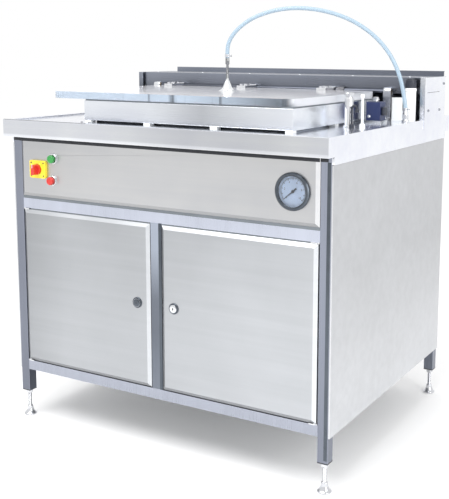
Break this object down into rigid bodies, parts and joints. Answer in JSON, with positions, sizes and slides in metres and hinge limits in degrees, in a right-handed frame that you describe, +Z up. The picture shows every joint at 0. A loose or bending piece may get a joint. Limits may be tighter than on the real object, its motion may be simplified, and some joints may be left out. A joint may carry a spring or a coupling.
{
  "type": "vacuum chamber sealer",
  "caption": "Floor-standing vacuum chamber sealer: stainless cabinet with doors and gauge, shallow chamber on the worktop, clear flat lid hinged at the rear and fed by an arched hose.",
  "frame": {"origin": "on the floor, under the middle of the machine's plan", "axes": "+X to the operator's right, -Y towards the operator (doors and controls), +Z up"},
  "size_m": [1.064, 0.902, 1.2545],
  "materials": {
    "frame_tube": "satin",
    "panel_steel": "brushed",
    "inner_steel": "dull",
    "top_steel": "polished",
    "hood_steel": "polished dark",
    "chamber_steel": "satin",
    "black_rubber": "matt",
    "white_plastic": "satin",
    "silicone": "satin",
    "red_silicone": "satin",
    "seal_aluminium": "extruded",
    "seal_tape": "woven coated",
    "machined_steel": "machined",
    "fastener_steel": "bright",
    "clear_acrylic": "clear polished",
    "hose_clear": "clear",
    "bronze": "machined",
    "spring_steel": "oiled",
    "black_plastic": "matt",
    "gauge_metal": "dark bright",
    "dial_face": "printed",
    "needle_black": "matt",
    "gauge_glass": "clear",
    "yellow_plastic": "moulded",
    "red_plastic": "moulded",
    "green_plastic": "moulded",
    "bezel_chrome": "bright",
    "latch_metal": "bright",
    "pump_paint": "semi gloss",
    "motor_paint": "semi gloss"
  },
  "bodies": {
    "cabinet": {"corner_posts": "frame_tube", "frame_rails": "frame_tube", "centre_post": "frame_tube", "leg_plugs": "black_rubber", "foot_nuts": "fastener_steel", "side_panels": "panel_steel", "rear_panel": "panel_steel", "cabinet_floor": "inner_steel", "control_panel": "panel_steel", "worktop": "top_steel", "rear_hood": "hood_steel", "rear_upstand": "hood_steel", "end_plates": "top_steel", "chamber_plinth": "black_rubber", "chamber_spacers": "white_plastic", "chamber_tub": "chamber_steel", "chamber_gasket": "silicone", "filler_plate": "white_plastic", "seal_lifters": "machined_steel", "hinge_pedestals": "top_steel", "hinge_bushings": "bronze", "lid_springs": "spring_steel", "vacuum_hose": "hose_clear", "hose_socket": "machined_steel", "filter_bowl": "white_plastic", "filter_cap": "black_plastic", "solenoid_coil": "black_plastic", "valve_block": "machined_steel", "vacuum_riser": "machined_steel", "gauge_case": "gauge_metal", "gauge_dial": "dial_face", "gauge_glass": "gauge_glass", "switch_plate": "yellow_plastic", "button_bezels": "bezel_chrome", "contact_blocks": "black_plastic", "door_hinges": "machined_steel", "pump_body": "pump_paint", "pump_motor": "motor_paint", "exhaust_filter": "motor_paint", "vacuum_pipe": "machined_steel"},
    "lid": {"lid_plate": "clear_acrylic", "counter_bar": "red_silicone", "hinge_arms": "machined_steel", "lid_bolts": "fastener_steel", "hinge_shaft": "machined_steel", "hose_stem": "machined_steel"},
    "seal": {"seal_bar": "seal_aluminium", "heating_band": "seal_tape"},
    "door_left": {"left_door": "panel_steel"},
    "door_right": {"right_door": "panel_steel"},
    "latch_left": {"left_latch": "latch_metal"},
    "latch_right": {"right_latch": "latch_metal"},
    "knob": {"switch_knob": "red_plastic"},
    "button_green": {"green_button": "green_plastic"},
    "button_red": {"red_button": "red_plastic"},
    "needle": {"gauge_needle": "needle_black"},
    "foot_fl": {"foot_front_left": "fastener_steel"},
    "foot_fr": {"foot_front_right": "fastener_steel"},
    "foot_rl": {"foot_rear_left": "fastener_steel"},
    "foot_rr": {"foot_rear_right": "fastener_steel"}
  },
  "joints": [
    {"name": "lid_hinge", "type": "hinge", "parent": "cabinet", "child": "lid", "pos_m": [0, 0.207, 1.003], "axis": [-1, 0, 0], "range_deg": [0, 60], "stiffness_Nm_per_rad": 13.2, "springref_deg": 126.05, "deforming": ["vacuum_hose"]},
    {"name": "seal_lift", "type": "slide", "parent": "cabinet", "child": "seal", "axis": [0, 0, 1], "range_m": [0, 0.0055], "stiffness_N_per_m": 1500, "springref_m": -0.002},
    {"name": "left_door_hinge", "type": "hinge", "parent": "cabinet", "child": "door_left", "pos_m": [-0.483, -0.413, 0.4], "axis": [0, 0, -1], "range_deg": [0, 110]},
    {"name": "right_door_hinge", "type": "hinge", "parent": "cabinet", "child": "door_right", "pos_m": [0.483, -0.413, 0.4], "axis": [0, 0, 1], "range_deg": [0, 110]},
    {"name": "left_latch_turn", "type": "hinge", "parent": "door_left", "child": "latch_left", "pos_m": [-0.0685, -0.421, 0.424], "axis": [0, -1, 0], "range_deg": [0, 90]},
    {"name": "right_latch_turn", "type": "hinge", "parent": "door_right", "child": "latch_right", "pos_m": [0.0555, -0.421, 0.424], "axis": [0, 1, 0], "range_deg": [0, 90]},
    {"name": "main_switch", "type": "hinge", "parent": "cabinet", "child": "knob", "pos_m": [-0.421, -0.44, 0.7765], "axis": [0, 1, 0], "range_deg": [0, 90]},
    {"name": "green_button_press", "type": "slide", "parent": "cabinet", "child": "button_green", "axis": [0, 1, 0], "range_m": [0, 0.004], "stiffness_N_per_m": 400, "springref_m": -0.002},
    {"name": "red_button_press", "type": "slide", "parent": "cabinet", "child": "button_red", "axis": [0, 1, 0], "range_m": [0, 0.004], "stiffness_N_per_m": 400, "springref_m": -0.002},
    {"name": "gauge_pointer", "type": "hinge", "parent": "cabinet", "child": "needle", "pos_m": [0.419, -0.426, 0.778], "axis": [0, 1, 0], "range_deg": [0, 260], "stiffness_Nm_per_rad": 0.002, "springref_deg": -5.73},
    {"name": "foot_fl_level", "type": "slide", "parent": "cabinet", "child": "foot_fl", "axis": [0, 0, 1], "range_m": [-0.03, 0.02]},
    {"name": "foot_fr_level", "type": "slide", "parent": "cabinet", "child": "foot_fr", "axis": [0, 0, 1], "range_m": [-0.03, 0.02]},
    {"name": "foot_rl_level", "type": "slide", "parent": "cabinet", "child": "foot_rl", "axis": [0, 0, 1], "range_m": [-0.03, 0.02]},
    {"name": "foot_rr_level", "type": "slide", "parent": "cabinet", "child": "foot_rr", "axis": [0, 0, 1], "range_m": [-0.03, 0.02]}
  ]
}
